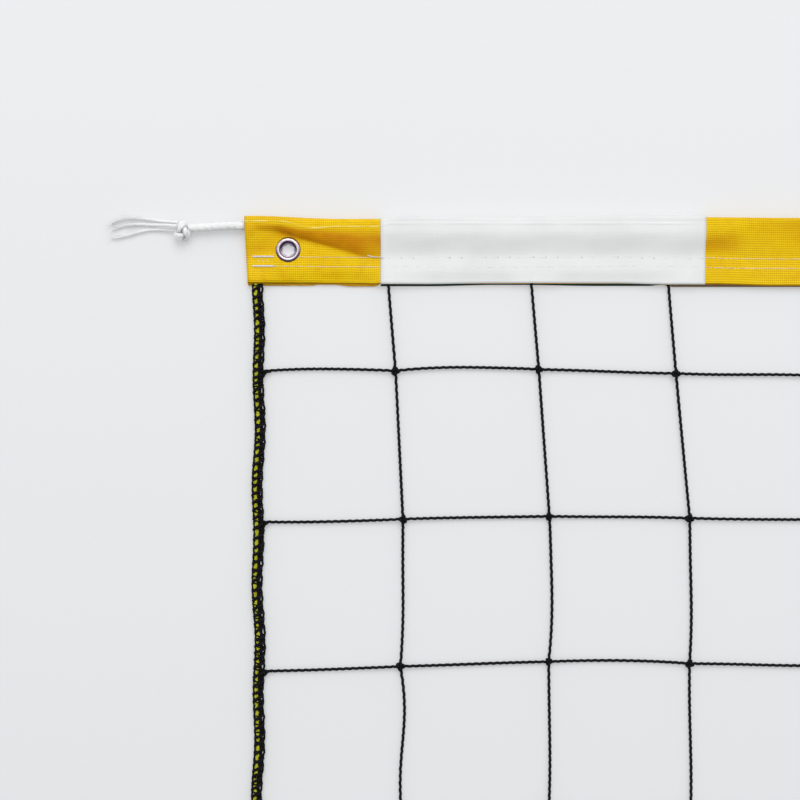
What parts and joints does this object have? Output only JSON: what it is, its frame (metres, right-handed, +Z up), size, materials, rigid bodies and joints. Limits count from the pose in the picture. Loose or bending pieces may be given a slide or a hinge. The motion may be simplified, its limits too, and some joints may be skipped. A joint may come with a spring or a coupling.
{
  "type": "volleyball net",
  "caption": "Beach volleyball net laid out flat: folded headband with end eyelets, knotted square mesh, lashed border rope and a sliding headline cord with stopper knots.",
  "frame": {"origin": "centre of the laid-out net, on the surface it lies on", "axes": "+X along the net's length, +Y towards the headband, +Z up from the surface"},
  "size_m": [8.7002, 1.0094, 0.0102],
  "materials": {
    "coated_tape": "yellow PVC-coated woven tape, semi-gloss",
    "white_sleeve": "smooth white coated cloth",
    "thread": "white polyester thread",
    "nickel": "nickel-plated brass",
    "black_twine": "black twisted polyethylene twine",
    "yellow_rope": "yellow polypropylene rope",
    "white_cord": "white three-strand twisted cord"
  },
  "bodies": {
    "net": {"headband": "coated_tape", "label_sleeve_left": "white_sleeve", "label_sleeve_right": "white_sleeve", "seam_upper": "thread", "seam_lower": "thread", "bar_tack_left": "thread", "bar_tack_right": "thread", "eyelet_left": "nickel", "eyelet_right": "nickel", "eyelet_washer_left": "nickel", "eyelet_washer_right": "nickel", "netting": "black_twine", "border_rope_left": "yellow_rope", "border_rope_right": "yellow_rope", "border_rope_bottom": "yellow_rope", "lashing_left": "black_twine", "lashing_right": "black_twine", "lashing_bottom": "black_twine"},
    "cord": {"headline": "white_cord", "headline_end_left": "white_cord", "headline_end_right": "white_cord", "stopper_knot_left": "white_cord", "stopper_knot_right": "white_cord", "strand_upper_left": "white_cord", "strand_middle_left": "white_cord", "strand_lower_left": "white_cord", "strand_upper_right": "white_cord", "strand_middle_right": "white_cord", "strand_lower_right": "white_cord"}
  },
  "joints": [
    {"name": "headline_slide", "type": "slide", "parent": "net", "child": "cord", "axis": [1, 0, 0], "range_m": [-0.035, 0.035]}
  ]
}
